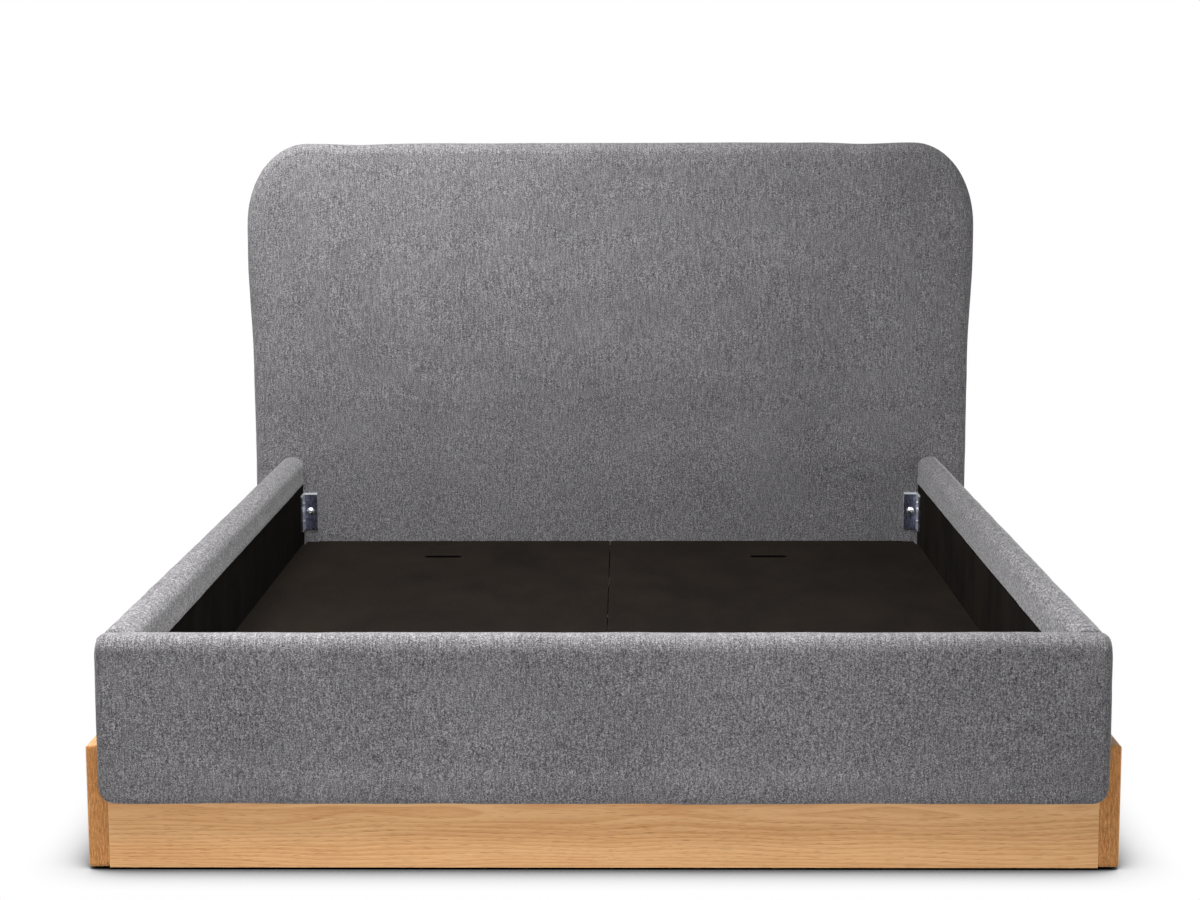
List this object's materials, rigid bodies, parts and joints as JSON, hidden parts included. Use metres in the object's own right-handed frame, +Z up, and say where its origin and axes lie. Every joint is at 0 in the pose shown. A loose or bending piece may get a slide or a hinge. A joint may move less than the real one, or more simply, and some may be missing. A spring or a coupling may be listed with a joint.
{
  "type": "platform bed frame",
  "caption": "Upholstered platform bed frame with a tall padded headboard, padded side and foot rails and lift-out deck boards, dropped into a low oak plinth.",
  "frame": {"origin": "on the floor, under the middle of the whole bed", "axes": "+X to the right seen from the foot, +Y from the foot to the headboard, +Z up"},
  "size_m": [1.8002, 2.1742, 1.172],
  "materials": {
    "oak": "satin lacquered oak, fine straight grain",
    "timber": "planed pine",
    "plywood": "plywood",
    "deck_board": "matt black faced board",
    "upholstery": "grey marl wool felt",
    "foam": "upholstery foam",
    "lining": "black lining cloth",
    "zinc": "zinc plated",
    "bolt_steel": "zinc plated",
    "screw_steel": "zinc plated",
    "glide": "matt brown"
  },
  "bodies": {
    "bed_frame": {"plinth_side_left": "oak", "plinth_side_right": "oak", "plinth_front": "oak", "plinth_rear": "oak", "plinth_corner_blocks": "timber", "corner_block_screws": "screw_steel", "plinth_glides": "glide", "ledger_left": "timber", "ledger_right": "timber", "ledger_screws": "screw_steel", "centre_beam": "timber", "beam_seats": "timber", "beam_feet": "timber", "beam_glides": "glide", "deck_bearers": "timber", "bearer_screws": "screw_steel", "side_rail_core_left": "timber", "side_rail_core_right": "timber", "foot_rail_core": "timber", "side_rail_foam_left": "foam", "side_rail_foam_right": "foam", "foot_rail_foam": "foam", "side_rail_cover_left": "upholstery", "side_rail_cover_right": "upholstery", "foot_rail_cover": "upholstery", "side_rail_lining_left": "lining", "side_rail_lining_right": "lining", "foot_rail_lining": "lining", "headboard_stile_left": "timber", "headboard_stile_right": "timber", "headboard_rails": "timber", "headboard_centre_posts": "timber", "headboard_corner_blocks": "timber", "headboard_face_panel": "plywood", "headboard_bolt_blocks": "timber", "headboard_foam": "foam", "headboard_cover": "upholstery", "headboard_back_cloth": "lining", "headboard_glides": "glide", "head_bracket_left": "zinc", "head_bracket_right": "zinc", "foot_bracket_left": "zinc", "foot_bracket_right": "zinc", "head_bolts": "bolt_steel", "foot_bolts": "bolt_steel", "bolt_washers": "zinc", "head_tee_nuts": "zinc", "foot_tee_nuts": "zinc", "bracket_screws": "screw_steel"},
    "left_deck": {"deck_board_left": "deck_board"},
    "right_deck": {"deck_board_right": "deck_board"}
  },
  "joints": [
    {"name": "left_deck_lift", "type": "slide", "parent": "bed_frame", "child": "left_deck", "axis": [0, 0, 1], "range_m": [0, 0.3]},
    {"name": "right_deck_lift", "type": "slide", "parent": "bed_frame", "child": "right_deck", "axis": [0, 0, 1], "range_m": [0, 0.3]}
  ]
}
